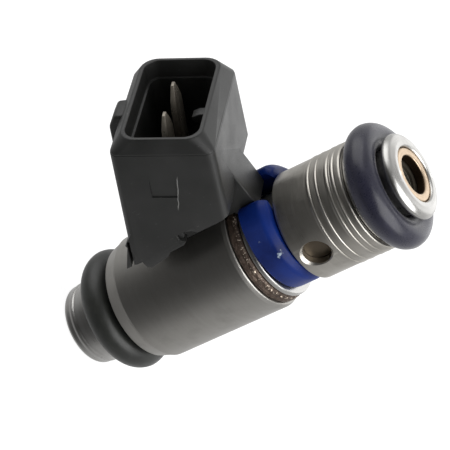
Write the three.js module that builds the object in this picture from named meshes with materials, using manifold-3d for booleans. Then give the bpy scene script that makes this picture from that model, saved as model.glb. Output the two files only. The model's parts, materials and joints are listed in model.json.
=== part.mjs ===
// A top-feed petrol fuel injector, built as the separate pieces that it comes apart into.
// Units are millimetres. The injector's axis is Z: the nozzle end is at z = 0, the fuel inlet is at the top.
// The connector leaves the body on the -Y side and leans towards the inlet; its row of blades runs along X.

import * as THREE from "three";
import { mergeVertices } from "three/addons/utils/BufferGeometryUtils.js";
import Module from "manifold-3d";

const wasm = await Module();
wasm.setup();

// ---- Driving dimensions -------------------------------------------------------------------------

const SHOWN_FACETS = 32; // round a piece that shows
const INNER_FACETS = 20; // round a piece that is sealed inside
const GAP = 0.05; // between pieces that touch on the real injector

const O_RING_SECTION = 1.75; // radius of the rubber's round section
const O_RING_MIDDLE = 5.65; // radius of the circle that the section runs along
const O_RING_GROOVE = O_RING_MIDDLE - O_RING_SECTION - 0.03;
const LOWER_O_RING_Z = 5.7;
const UPPER_O_RING_Z = 43.1;

const NOZZLE_CAP = { outer: 4.9, ridge: 5.05, bore: 3.45, top: 3.2 };
const NOZZLE_TUBE = 3.4; // radius of the valve body inside the nozzle cap
const SEAT_BORE = 3.05;
const SEAT_OUTER = 3;

const CAN = {
  outer: 7.54,
  inner: 6.75,
  rear: 8.2,
  rearRadius: 6.95,
  corner: 0.4,
  shoulder: 10.1,
  shoulderCorner: 0.6,
  front: 26,
  frontEdge: 0.35,
  hole: 4,
  floor: 9.2,
  floorRadius: 5.9,
};
const CAN_NOTCH = { halfWidth: 2.6, from: 20.3 };
const CORE_TUBE = 3.9; // radius of the tube that runs through the coil
const COVER = { rear: 24.1, front: 28.05, inside: 6.7, neck: 6.15, lip: 6.9, lipRear: 27.4 };
const WELD_BEAD = { rear: 26.06, front: 27.35, inner: 6.2, outer: 7.15 };

const BOBBIN = { bottom: 12, top: 24, bore: 4.05, core: 4.75, flange: 6.6, flangeThickness: 1.4 };
const BOBBIN_SEAT = { radius: 5, depth: 1 };
const WINDING_OUTER = 6.2;
// From the winding, between the posts, to the terminal's tail.
const COIL_LEAD = {
  wire: 0.12,
  route: [
    [0.4, -WINDING_OUTER - 0.14, 21.9],
    [0.42, -7.2, 21.9],
    [0.6, -7.9, 21.7],
    [0.82, -8.35, 21.5],
  ],
};
const POCKET = { halfWidth: 2.5, top: -8.45, rear: 20.4, front: 24.2 }; // round the posts and leads
const POST = { inner: 1.05, outer: 2.3, from: 20.6, to: 23.9, top: -7.9, foot: -5.6, over: -6.3 };

const ARMATURE = { radius: 2.93, bore: 3, bottom: 14.5, top: 20.5 };
const SPRING_POCKET = { radius: 1.85, floor: 19.2 };
const POLE_FACE = 20.6; // the armature stops here when the valve is open
const POLE_RADIUS = 3;
const SLEEVE = { bottom: 19.05, top: 21.95 };
const NEEDLE = { outer: 1.1, inner: 0.6, top: 17.5, crossHole: 0.35, crossHoleZ: 9 };
const BALL = { radius: 1.75, z: 5.3 };
const SEAT = { bottom: 1.4, top: 4.85, hole: 0.6 };
const GUIDE = { bottom: 4.9, top: 6.1, bore: 1.8, slot: 1.2 };
const ORIFICE_PLATE = { bottom: 0.9, top: 1.35, holeCircle: 0.7, hole: 0.15, holes: 4 };

const NECK = { radius: 5, rear: 28.1, front: 31.75 };
const COLLAR = { inner: 5.35, outer: 6.44, rear: 31.8, front: 40.95, edge: 0.14 };
const COLLAR_GROOVES = [
  { z: 36.95, width: 0.2, depth: 0.1 },
  { z: 38, width: 0.3, depth: 0.1 },
  { z: 39.48, width: 0.34, depth: 0.16 },
  { z: 40.3, width: 0.3, depth: 0.1 },
];
const STAKE_HOLE = { radius: 1.6, z: 34.3 };
const INLET = { lip: 5.05, lipRear: 45.35, lipFront: 45.9, top: 46.6, face: 3.95 };
const INLET_BORE = { radius: 3.28, end: 38, core: 1.95 };
const BACK_UP_RING = { rear: 41, front: 41.3, inner: 3.95, outer: 5.9 };
const ADJUSTING_TUBE = { outer: 1.88, inner: 1.25, bottom: 29.6, top: 36.6, slit: 0.5 };
const SPRING = { middle: 1.45, wire: 0.25, turns: 7 };

const FILTER_SLEEVE = { outer: 3.23, mouth: 2.25, inner: 2.62, bottom: 43, step: 45.3, top: 46.4 };
const FILTER_FRAME = { outer: 2.2, head: 2.56, inner: 1.75, bottom: 38.2, headFrom: 44.2, top: 45.2 };
const FILTER_WINDOW = { halfWidth: 0.95, from: 39.4, to: 43.6 };
const FILTER_MESH = { outer: 1.7, inner: 1.58, bottom: 38.85, top: 44.9 };

const CLIP = { rear: 28.15, chamfer: 30.9, front: 31.7, inner: 5.06, outer: 7, edge: 6.3 };
const CLIP_CENTRE_Y = -1.1; // the outside isn't concentric with the bore
const CLIP_SLOT = 2.7; // half of the opening between the ears

const CONNECTOR_LEAN = THREE.MathUtils.degToRad(29.3); // from square to the axis, towards the inlet
const CONNECTOR_Z = 17.24; // where the connector's middle line meets the injector's axis
const RIM = 25.07; // height of the connector's rim along its middle line
const RIM_HALF = { x: 7.4, s: 4.5, corner: 1.9 };
const BLOCK_HALF = { x: 7.77, s: 5.73, corner: 1 };
const BLOCK_DRAFT = 0.045; // how fast the side towards the inlet leans out, going down from the chamfer
const CHAMFER = 1.75; // depth of the sloping band round the rim
const SOCKET_MOUTH = { x: 6.97, s: 4.03, corner: 1.6 };
const SOCKET_HALF = { x: 6.65, s: 3.72, corner: 1.3 };
const SOCKET_STEP = 2.2; // below the rim
const SOCKET_FLOOR = 14.8;
const BLOCK_UNDERSIDE = -9.4; // y of the flat face above the can
const UNDERSIDE_STEP = { z: 22.8, y: -9.8 }; // in front of this the underside is a little higher
const LUG = { halfWidth: 1.6, from: 18.3, ramp: 22.6, top: 23.8, out: 7.05, outAtTop: 6.3 };
const REAR_FOOT = { halfWidth: 7.6, from: 6.5, to: 11, out: 6.55 };
const SADDLE = { halfWidth: 3.1, rear: 16.3, front: 25.4 };
const WEB = { halfWidth: 2.4, front: 30.5, top: -11.5 };
const KEYING_PEG = { halfWidth: 0.65, from: 22.15, to: 23.2, reach: 1.7 };
const BLADE = { x: 2.71, s: -0.29, halfWidth: 1.4, halfThickness: 0.4 }; // x and s of its middle line
const BLADE_ENDS = { tip: 24.95, point: 2.3, shoulder: 12.5 };
const TAIL = { inner: 1, outer: 2.2, end: 9.2 };
const BLADE_CLEARANCE = 0.06;

// ---- Shapes ---------------------------------------------------------------------------------------

// A profile of [radius, height] points, turned about the Z axis. It closes on itself or on the axis.
function turned(points, facets = SHOWN_FACETS) {
  const onAxis = points[0][0] === 0;
  const loop = onAxis ? points : [...points, points[0]];
  const profile = loop.map(([radius, height]) => new THREE.Vector2(radius, height));
  return new THREE.LatheGeometry(profile, facets).rotateX(Math.PI / 2);
}

// Points of a profile along an arc, from one angle to another in degrees.
function arc(radius, height, size, from, to, steps) {
  return Array.from({ length: steps + 1 }, (_, i) => {
    const angle = THREE.MathUtils.degToRad(from + ((to - from) * i) / steps);
    return [radius + size * Math.cos(angle), height + size * Math.sin(angle)];
  });
}

function box(x0, x1, y0, y1, z0, z1) {
  const size = new THREE.BoxGeometry(x1 - x0, y1 - y0, z1 - z0);
  return size.translate((x0 + x1) / 2, (y0 + y1) / 2, (z0 + z1) / 2);
}

// A closed body through convex outlines of equal point counts, each at its own height.
function lofted(sections) {
  const count = sections[0].outline.length;
  const vertices = sections.flatMap(({ outline, z }) => outline.flatMap((p) => [p.x, p.y, z]));
  const faces = [];
  for (let level = 0; level < sections.length - 1; level++) {
    for (let i = 0; i < count; i++) {
      const a = level * count + i;
      const b = level * count + ((i + 1) % count);
      faces.push(a, b, b + count, a, b + count, a + count);
    }
  }
  const last = (sections.length - 1) * count;
  for (let i = 1; i < count - 1; i++) {
    faces.push(0, i + 1, i);
    faces.push(last, last + i, last + i + 1);
  }
  const geometry = new THREE.BufferGeometry();
  geometry.setAttribute("position", new THREE.Float32BufferAttribute(vertices, 3));
  return geometry.setIndex(faces);
}

// A rectangle of half sizes x and s with rounded corners, whose upper side lies further out by extra.
function roundedRectangle({ x, s, corner }, extra = 0) {
  const shape = new THREE.Shape();
  shape.absarc(x - corner, s + extra - corner, corner, 0, Math.PI / 2);
  shape.absarc(corner - x, s + extra - corner, corner, Math.PI / 2, Math.PI);
  shape.absarc(corner - x, corner - s, corner, Math.PI, 1.5 * Math.PI);
  shape.absarc(x - corner, corner - s, corner, 1.5 * Math.PI, 2 * Math.PI);
  return shape.extractPoints(3).shape.slice(0, -1);
}

function polygon(points) {
  return new THREE.Shape(points.map(([x, y]) => new THREE.Vector2(x, y)));
}

function extruded(shape, depth) {
  return new THREE.ExtrudeGeometry(shape, { depth, bevelEnabled: false, curveSegments: 24 });
}

// A tube along a curve, closed at both ends.
function tube(path, radius, sides, steps) {
  const section = new THREE.Shape();
  section.absarc(0, 0, radius, 0, 2 * Math.PI);
  const settings = { steps, extrudePath: path, bevelEnabled: false, curveSegments: sides / 2 };
  return new THREE.ExtrudeGeometry(section, settings);
}

// A closed geometry as a solid that can be joined and cut.
function solid(geometry) {
  const bare = geometry.index ? geometry.toNonIndexed() : geometry.clone();
  bare.deleteAttribute("normal");
  bare.deleteAttribute("uv");
  const merged = mergeVertices(bare, 1e-4);
  const vertProperties = merged.getAttribute("position").array;
  const triVerts = new Uint32Array(merged.index.array);
  return new wasm.Manifold(new wasm.Mesh({ numProp: 3, vertProperties, triVerts }));
}

function geometryOf(shape) {
  const { vertProperties, triVerts } = shape.getMesh();
  const geometry = new THREE.BufferGeometry();
  geometry.setAttribute("position", new THREE.BufferAttribute(new Float32Array(vertProperties), 3));
  geometry.setIndex(new THREE.BufferAttribute(new Uint32Array(triVerts), 1));
  geometry.computeVertexNormals();
  return geometry;
}

function join(...geometries) {
  return geometries.map(solid).reduce((whole, piece) => whole.add(piece));
}

function cut(geometry, ...tools) {
  return geometryOf(tools.map(solid).reduce((rest, tool) => rest.subtract(tool), solid(geometry)));
}

// A geometry drawn in the connector's own frame (X, across the row, along its middle line), put in place.
const CONNECTOR_PLACE = new THREE.Matrix4()
  .makeRotationX(Math.PI / 2 - CONNECTOR_LEAN)
  .setPosition(0, 0, CONNECTOR_Z);

function onConnector(geometry) {
  return geometry.applyMatrix4(CONNECTOR_PLACE);
}

// ---- Materials ------------------------------------------------------------------------------------

function material(color, roughness, metalness) {
  return new THREE.MeshStandardMaterial({ color, roughness, metalness });
}

const bodySteel = () => material(0x8b8983, 0.42, 0.9);
const turnedSteel = () => material(0xa19f99, 0.34, 0.95);
const softIron = () => material(0x777672, 0.5, 0.9);
const springSteel = () => material(0x9a9a98, 0.35, 0.95);
const bronze = () => material(0x7a6046, 0.55, 0.8);
const brass = () => material(0xd9ab63, 0.3, 0.95);
const copper = () => material(0xa85a32, 0.4, 0.9);
const tin = () => material(0x8d8271, 0.4, 0.85);
const housingPlastic = () => material(0x3b3c3a, 0.62, 0);
const bobbinPlastic = () => material(0xb9b4a5, 0.6, 0);
const clipPlastic = () => material(0x16309c, 0.38, 0);
const blackRubber = () => material(0x2e2f2c, 0.6, 0);
const navyRubber = () => material(0x23263a, 0.4, 0);
const filterPlastic = () => material(0x6f6a5a, 0.55, 0);
const filterCloth = () => material(0xc9c7bd, 0.8, 0);

// ---- Pieces ---------------------------------------------------------------------------------------

const injector = new THREE.Group();

function add(name, geometry, finish) {
  const mesh = new THREE.Mesh(geometry, finish);
  mesh.name = name;
  injector.add(mesh);
}

function addNozzleCap() {
  const { outer, ridge, bore, top } = NOZZLE_CAP;
  const profile = [
    [bore, 0],
    [outer - 0.3, 0],
    [outer, 0.3],
    [outer, 1.05],
    [ridge, 1.2],
    [ridge, 1.45],
    [outer, 1.6],
    [outer, top - 0.15],
    [outer - 0.15, top],
    [bore, top],
  ];
  add("nozzle_cap", turned(profile), turnedSteel());
}

function addValveBody() {
  const flange = { radius: 5.4, bottom: CAN.floor + GAP, top: 10.1 };
  const seatStop = GUIDE.top + GAP;
  const guideBore = 2.4;
  const profile = [
    [SEAT_BORE, 0.5],
    [NOZZLE_TUBE, 0.5],
    [NOZZLE_TUBE, NOZZLE_CAP.top + GAP],
    [O_RING_GROOVE, NOZZLE_CAP.top + GAP],
    [O_RING_GROOVE, flange.bottom],
    [flange.radius, flange.bottom],
    [flange.radius, flange.top],
    [CORE_TUBE, flange.top],
    [CORE_TUBE, SLEEVE.bottom - GAP],
    [ARMATURE.bore, SLEEVE.bottom - GAP],
    [ARMATURE.bore, ARMATURE.bottom - 1.5],
    [guideBore, ARMATURE.bottom - 2.1],
    [guideBore, seatStop],
    [SEAT_BORE, seatStop],
  ];
  add("valve_body", turned(profile, INNER_FACETS), turnedSteel());
}

function addOrificePlate() {
  const { bottom, top, holeCircle, hole, holes } = ORIFICE_PLATE;
  const plate = turned([[0, bottom], [SEAT_OUTER, bottom], [SEAT_OUTER, top], [0, top]], INNER_FACETS);
  const drills = Array.from({ length: holes }, (_, i) => {
    const angle = (2 * Math.PI * (i + 0.5)) / holes;
    const drill = new THREE.CylinderGeometry(hole, hole, 2, 8).rotateX(Math.PI / 2);
    return drill.translate(holeCircle * Math.cos(angle), holeCircle * Math.sin(angle), bottom);
  });
  add("orifice_plate", cut(plate, ...drills), turnedSteel());
}

function addValveSeat() {
  const { bottom, top, hole } = SEAT;
  const touch = BALL.radius * Math.SQRT1_2;
  const cone = (radius) => BALL.z - touch - 0.03 + (radius - touch);
  const mouth = touch + (top - cone(touch));
  const profile = [
    [hole, bottom],
    [SEAT_OUTER, bottom],
    [SEAT_OUTER, top],
    [mouth, top],
    [hole, cone(hole)],
  ];
  add("valve_seat", turned(profile, INNER_FACETS), turnedSteel());
}

function addBallGuide() {
  const { bottom, top, bore, slot } = GUIDE;
  const ring = turned([[bore, bottom], [SEAT_OUTER, bottom], [SEAT_OUTER, top], [bore, top]], INNER_FACETS);
  const reach = bore + 0.6;
  const acrossX = box(-reach, reach, -slot / 2, slot / 2, bottom - 1, top + 1);
  const acrossY = box(-slot / 2, slot / 2, -reach, reach, bottom - 1, top + 1);
  add("ball_guide", cut(ring, acrossX, acrossY), turnedSteel());
}

function addValveBall() {
  const ball = new THREE.SphereGeometry(BALL.radius, 16, 10).rotateX(Math.PI / 2);
  add("valve_ball", ball.translate(0, 0, BALL.z), springSteel());
}

function addNeedle() {
  const { outer, inner, top, crossHole, crossHoleZ } = NEEDLE;
  const onBall = (radius) => BALL.z + Math.sqrt(BALL.radius ** 2 - radius ** 2) + GAP;
  const rod = turned([[inner, onBall(inner)], [outer, onBall(outer)], [outer, top], [inner, top]], 20);
  const drill = new THREE.CylinderGeometry(crossHole, crossHole, 4, 10).translate(0, 0, crossHoleZ);
  add("needle", cut(rod, drill), turnedSteel());
}

function addArmature() {
  const { radius, bottom, top } = ARMATURE;
  const bore = NEEDLE.outer + 0.02;
  const profile = [
    [bore, bottom],
    [radius - 0.3, bottom],
    [radius, bottom + 0.3],
    [radius, top],
    [SPRING_POCKET.radius, top],
    [SPRING_POCKET.radius, SPRING_POCKET.floor],
    [bore, SPRING_POCKET.floor],
  ];
  add("armature", turned(profile, INNER_FACETS), softIron());
}

class Coil extends THREE.Curve {
  constructor(radius, bottom, top, turns) {
    super();
    Object.assign(this, { radius, bottom, top, turns });
  }

  getPoint(t, target = new THREE.Vector3()) {
    const angle = 2 * Math.PI * this.turns * t;
    const z = this.bottom + (this.top - this.bottom) * t;
    return target.set(this.radius * Math.cos(angle), this.radius * Math.sin(angle), z);
  }
}

function addReturnSpring() {
  const { middle, wire, turns } = SPRING;
  const bottom = SPRING_POCKET.floor + wire + GAP;
  const top = ADJUSTING_TUBE.bottom - wire - GAP;
  const path = new Coil(middle, bottom, top, turns);
  add("return_spring", tube(path, wire, 6, 9 * turns), springSteel());
}

function addAdjustingTube() {
  const { outer, inner, bottom, top, slit } = ADJUSTING_TUBE;
  const sleeve = turned([[inner, bottom], [outer, bottom], [outer, top], [inner, top]], INNER_FACETS);
  add("adjusting_tube", cut(sleeve, box(-slit / 2, slit / 2, 0, 4, bottom - 1, top + 1)), springSteel());
}

function addHousingCan() {
  const { outer, inner, rear, rearRadius, corner, shoulder, shoulderCorner, front } = CAN;
  const { hole, floor, floorRadius, frontEdge } = CAN;
  const profile = [
    [hole, rear],
    ...arc(rearRadius - corner, rear + corner, corner, -90, -20, 4),
    ...arc(outer - shoulderCorner, shoulder, shoulderCorner, -40, 0, 4),
    [outer, front - frontEdge],
    [outer - frontEdge / 2, front],
    [inner, front],
    [inner, shoulder + corner],
    [floorRadius, floor],
    [hole, floor],
  ];
  const { halfWidth, from } = CAN_NOTCH;
  const notch = box(-halfWidth, halfWidth, -outer - 1, -5, from, front + 1);
  add("housing_can", cut(turned(profile), notch), bodySteel());
}

function addLowerFluxWasher() {
  const bottom = CAN.shoulder + CAN.corner + GAP;
  const top = BOBBIN.bottom - GAP;
  const inner = BOBBIN.bore;
  const outer = CAN.inner - GAP;
  const profile = [[inner, bottom], [outer, bottom], [outer, top], [inner, top]];
  add("lower_flux_washer", turned(profile), softIron());
}

function addBobbin() {
  const { bottom, top, bore, core, flange, flangeThickness } = BOBBIN;
  const { radius, depth } = BOBBIN_SEAT;
  const profile = [
    [radius, bottom],
    [flange, bottom],
    [flange, bottom + flangeThickness],
    [core, bottom + flangeThickness],
    [core, top - flangeThickness],
    [flange, top - flangeThickness],
    [flange, top],
    [radius, top],
    [radius, top - depth],
    [bore, top - depth],
    [bore, bottom + depth],
    [radius, bottom + depth],
  ];
  const posts = [-1, 1].flatMap((side) => {
    const [x0, x1] = [side * POST.inner, side * POST.outer].sort((a, b) => a - b);
    const overFlange = top - flangeThickness + 0.1;
    return [
      box(x0, x1, POST.top, POST.over, POST.from, POST.to),
      box(x0, x1, POST.top, POST.foot, overFlange, POST.to),
    ];
  });
  add("coil_bobbin", geometryOf(join(turned(profile), ...posts)), bobbinPlastic());
}

function addWinding() {
  const bottom = BOBBIN.bottom + BOBBIN.flangeThickness + GAP;
  const top = BOBBIN.top - BOBBIN.flangeThickness - GAP;
  const inner = BOBBIN.core + 0.08;
  const profile = [[inner, bottom], [WINDING_OUTER, bottom], [WINDING_OUTER, top], [inner, top]];
  add("coil_winding", turned(profile, INNER_FACETS), copper());
}

function addCoilLeads() {
  for (const [name, side] of [["coil_lead_left", -1], ["coil_lead_right", 1]]) {
    const points = COIL_LEAD.route.map(([x, y, z]) => new THREE.Vector3(side * x, y, z));
    add(name, tube(new THREE.CatmullRomCurve3(points), COIL_LEAD.wire, 6, 10), copper());
  }
}

function addBobbinSeal(name, z) {
  const section = 0.46;
  const middle = CORE_TUBE + section + 0.06;
  add(name, turned(arc(middle, z, section, 0, 315, 7), INNER_FACETS), blackRubber());
}

function addCoverPlate() {
  const { rear, front, inside, neck, lip, lipRear } = COVER;
  const inner = CORE_TUBE + GAP;
  const profile = [
    [inner, rear],
    [inside, rear],
    [inside, CAN.front],
    [neck, CAN.front],
    [neck, lipRear],
    [lip, lipRear],
    [lip, front - 0.1],
    [lip - 0.1, front],
    [inner, front],
  ];
  add("cover_plate", turned(profile), turnedSteel());
}

function addWeldBead() {
  const { rear, front, inner, outer } = WELD_BEAD;
  const profile = [
    [inner, rear],
    [outer - 0.05, rear],
    [outer, rear + 0.35],
    [outer - 0.2, front - 0.3],
    [outer - 0.55, front],
    [inner, front],
  ];
  add("weld_bead", turned(profile), bronze());
}

function addNonMagneticSleeve() {
  const { bottom, top } = SLEEVE;
  const inner = POLE_RADIUS + GAP;
  const profile = [[inner, bottom], [CORE_TUBE, bottom], [CORE_TUBE, top], [inner, top]];
  add("non_magnetic_sleeve", turned(profile, INNER_FACETS), brass());
}

function stakeDrill() {
  const { radius, z } = STAKE_HOLE;
  return new THREE.CylinderGeometry(radius, radius, 20, 24).rotateZ(Math.PI / 2).translate(0, 0, z);
}

function addInletTube() {
  const { lipRear, lipFront, top, lip, face } = INLET;
  const { radius: bore, end: boreEnd, core } = INLET_BORE;
  const underCollar = COLLAR.inner - GAP;
  const profile = [
    [core, POLE_FACE],
    [POLE_RADIUS, POLE_FACE],
    [POLE_RADIUS, SLEEVE.top + GAP],
    [CORE_TUBE, SLEEVE.top + GAP],
    [CORE_TUBE, NECK.rear],
    [NECK.radius, NECK.rear],
    [NECK.radius, NECK.front],
    [underCollar, NECK.front],
    [underCollar, COLLAR.front],
    [O_RING_GROOVE, COLLAR.front],
    [O_RING_GROOVE, lipRear],
    [lip - 0.2, lipRear],
    [lip, lipRear + 0.2],
    [lip, lipFront],
    [lip - 0.25, lipFront + 0.3],
    [face, top],
    [bore + 0.17, top],
    [bore, top - 0.15],
    [bore, boreEnd],
    [core, boreEnd - 1.2],
  ];
  add("inlet_tube", turned(profile), turnedSteel());
}

function addInletCollar() {
  const { inner, outer, rear, front, edge } = COLLAR;
  const grooves = COLLAR_GROOVES.flatMap(({ z, width, depth }) => [
    [outer, z - width / 2],
    [outer - depth, z],
    [outer, z + width / 2],
  ]);
  const profile = [
    [inner, rear],
    [outer - edge, rear],
    [outer, rear + edge],
    ...grooves,
    [outer, front - edge],
    [outer - edge, front],
    [inner, front],
  ];
  add("inlet_collar", cut(turned(profile), stakeDrill()), bodySteel());
}

function addBackUpRing() {
  const { rear, front, inner, outer } = BACK_UP_RING;
  add("back_up_ring", turned([[inner, rear], [outer, rear], [outer, front], [inner, front]]), turnedSteel());
}

function addORing(name, z, finish) {
  const section = arc(O_RING_MIDDLE, z, O_RING_SECTION, 0, 330, 11);
  add(name, turned(section), finish);
}

function addFilterSleeve() {
  const { outer, mouth, inner, bottom, step, top } = FILTER_SLEEVE;
  const profile = [
    [inner, bottom],
    [outer, bottom],
    [outer, top - 0.15],
    [outer - 0.2, top],
    [mouth + 0.2, top],
    [mouth, top - 0.2],
    [mouth, step],
    [inner, step],
  ];
  add("filter_sleeve", turned(profile, INNER_FACETS), brass());
}

function addFilterFrame() {
  const { outer, head, inner, bottom, headFrom, top } = FILTER_FRAME;
  const profile = [
    [0, bottom],
    [outer, bottom],
    [outer, headFrom],
    [head, headFrom],
    [head, top],
    [inner, top],
    [inner, bottom + 0.6],
    [0, bottom + 0.6],
  ];
  const { halfWidth, from, to } = FILTER_WINDOW;
  const alongX = box(-head, head, -halfWidth, halfWidth, from, to);
  const alongY = box(-halfWidth, halfWidth, -head, head, from, to);
  add("filter_frame", cut(turned(profile, INNER_FACETS), alongX, alongY), filterPlastic());
}

function addFilterMesh() {
  const { outer, inner, bottom, top } = FILTER_MESH;
  const profile = [[inner, bottom], [outer, bottom], [outer, top], [inner, top]];
  add("filter_mesh", turned(profile, INNER_FACETS), filterCloth());
}

// A C-shaped plastic ring, thickest at the two ears beside the slot, with a sloping front edge.
function addRetainingClip() {
  const { rear, chamfer, front, outer, edge, inner } = CLIP;
  const whole = turned([[0, rear], [outer, rear], [outer, chamfer], [edge, front], [0, front]]);
  const bore = turned([[0, rear - 1], [inner, rear - 1], [inner, front + 1], [0, front + 1]]);
  const opening = box(-CLIP_SLOT, CLIP_SLOT, -outer - 3, 0, rear - 1, front + 1);
  add("retaining_clip", cut(whole.translate(0, CLIP_CENTRE_Y, 0), bore, opening), clipPlastic());
}

// The flat outline of a terminal in X and along the connector, grown on every side by a clearance.
function terminal(side, clearance) {
  const { x, s, halfWidth, halfThickness } = BLADE;
  const { tip, point, shoulder } = BLADE_ENDS;
  const { inner, outer, end } = TAIL;
  const tipHalf = 0.45;
  const points = [
    [inner - clearance, end - clearance],
    [outer + clearance, end - clearance],
    [outer + clearance, shoulder - clearance],
    [x + halfWidth + clearance, shoulder - clearance],
    [x + halfWidth + clearance, tip - point + clearance],
    [x + tipHalf + clearance, tip + clearance],
    [x - tipHalf - clearance, tip + clearance],
    [x - halfWidth - clearance, tip - point + clearance],
    [x - halfWidth - clearance, shoulder + clearance],
    [inner - clearance, shoulder + clearance],
  ];
  const thickness = 2 * (halfThickness + clearance);
  const flat = extruded(polygon(points.map(([px, n]) => [side * px, n])), thickness);
  const standing = flat.rotateX(Math.PI / 2).translate(0, s + thickness / 2, 0);
  return onConnector(standing);
}

function addTerminals() {
  add("terminal_pin_left", terminal(-1, 0), tin());
  add("terminal_pin_right", terminal(1, 0), tin());
}

// Everything that the connector housing has to stay clear of inside and under it.
function bodyClearance() {
  return turned([
    [0, 5],
    [CAN.outer + 0.06, 5],
    [CAN.outer + 0.06, CAN.front + GAP],
    [WELD_BEAD.outer + 0.1, CAN.front + GAP],
    [WELD_BEAD.outer + 0.1, WELD_BEAD.front + GAP],
    [COVER.lip + 0.1, WELD_BEAD.front + GAP],
    [COVER.lip + 0.1, COVER.front + 0.1],
    [NECK.radius + 0.08, COVER.front + 0.1],
    [NECK.radius + 0.08, 35],
    [0, 35],
  ]);
}

// The ramp that a plug's latch clicks over, on the side away from the inlet.
function latchLug() {
  const { halfWidth, from, ramp, top, out, outAtTop } = LUG;
  const root = BLOCK_HALF.s - 0.7;
  const outline = polygon([[root, from], [out, from], [out, ramp], [outAtTop, top], [root, top]]);
  const lug = extruded(outline, 2 * halfWidth).translate(0, 0, -halfWidth);
  return onConnector(lug.rotateX(Math.PI / 2).rotateZ(-Math.PI / 2));
}

function connectorBlock() {
  const bottom = 3;
  const edge = RIM - CHAMFER;
  const sections = [
    { outline: roundedRectangle(BLOCK_HALF, BLOCK_DRAFT * (edge - bottom)), z: bottom },
    { outline: roundedRectangle(BLOCK_HALF), z: edge },
    { outline: roundedRectangle(RIM_HALF), z: RIM },
  ];
  const below = box(-20, 20, BLOCK_UNDERSIDE, 30, -20, 60);
  const step = box(-20, 20, UNDERSIDE_STEP.y, 30, UNDERSIDE_STEP.z, 60);
  return solid(onConnector(lofted(sections))).subtract(solid(below)).subtract(solid(step));
}

function connectorSocket() {
  const step = RIM - SOCKET_STEP;
  return onConnector(
    lofted([
      { outline: roundedRectangle(SOCKET_HALF), z: SOCKET_FLOOR },
      { outline: roundedRectangle(SOCKET_HALF), z: step },
      { outline: roundedRectangle(SOCKET_MOUTH), z: step + 0.15 },
      { outline: roundedRectangle(SOCKET_MOUTH), z: RIM + 1 },
    ]),
  );
}

// A low wedge across the back of the block, where it ends above the can.
function rearFoot() {
  const { halfWidth, from, to, out } = REAR_FOOT;
  const root = -BLOCK_HALF.s + 1;
  const outline = polygon([[root, from], [root, to], [-BLOCK_HALF.s, to], [-out, from]]);
  const wedge = extruded(outline, 2 * halfWidth).translate(0, 0, -halfWidth);
  const placed = solid(onConnector(wedge.rotateX(Math.PI / 2).rotateZ(Math.PI / 2)));
  return geometryOf(placed.subtract(solid(box(-20, 20, BLOCK_UNDERSIDE, 30, -20, 60))));
}

function addConnectorHousing() {
  const peg = KEYING_PEG;
  const wall = SOCKET_HALF.s;
  const outside = [
    box(-SADDLE.halfWidth, SADDLE.halfWidth, BLOCK_UNDERSIDE - 0.5, -5, SADDLE.rear, SADDLE.front),
    box(-WEB.halfWidth, WEB.halfWidth, WEB.top, -3, SADDLE.front - 1, WEB.front),
    rearFoot(),
    latchLug(),
  ];
  const pocket = box(-POCKET.halfWidth, POCKET.halfWidth, POCKET.top, -5, POCKET.rear, POCKET.front);
  const hollows = [connectorSocket(), bodyClearance(), pocket, terminal(-1, BLADE_CLEARANCE)];
  hollows.push(terminal(1, BLADE_CLEARANCE));
  const keyingPeg = onConnector(
    box(-peg.halfWidth, peg.halfWidth, wall - peg.reach, wall + 0.5, peg.from, peg.to),
  );
  const shell = outside.map(solid).reduce((whole, piece) => whole.add(piece), connectorBlock());
  const hollowed = hollows.map(solid).reduce((rest, hollow) => rest.subtract(hollow), shell);
  add("connector_housing", geometryOf(hollowed.add(solid(keyingPeg))), housingPlastic());
}

// ---- Assembly -------------------------------------------------------------------------------------

addNozzleCap();
addValveBody();
addOrificePlate();
addValveSeat();
addBallGuide();
addValveBall();
addNeedle();
addArmature();
addReturnSpring();
addAdjustingTube();
addHousingCan();
addLowerFluxWasher();
addBobbin();
addWinding();
addCoilLeads();
addBobbinSeal("bobbin_seal_lower", BOBBIN.bottom + BOBBIN_SEAT.depth / 2);
addBobbinSeal("bobbin_seal_upper", BOBBIN.top - BOBBIN_SEAT.depth / 2);
addCoverPlate();
addWeldBead();
addNonMagneticSleeve();
addInletTube();
addInletCollar();
addBackUpRing();
addORing("lower_o_ring", LOWER_O_RING_Z, blackRubber());
addORing("upper_o_ring", UPPER_O_RING_Z, navyRubber());
addFilterSleeve();
addFilterFrame();
addFilterMesh();
addRetainingClip();
addTerminals();
addConnectorHousing();

export default injector;
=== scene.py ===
"""Looks of the fuel injector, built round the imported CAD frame.

Lengths are in millimetres until a mesh is made. The injector's axis is Z, with the nozzle end at z = 0.
The connector leans from -Y towards the inlet. Its own frame is (x, s, n): along the row of blades, across
the row, and out along its middle line.
"""

import json
import math

import bmesh
import bpy
from mathutils import Matrix, Vector, noise


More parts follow.
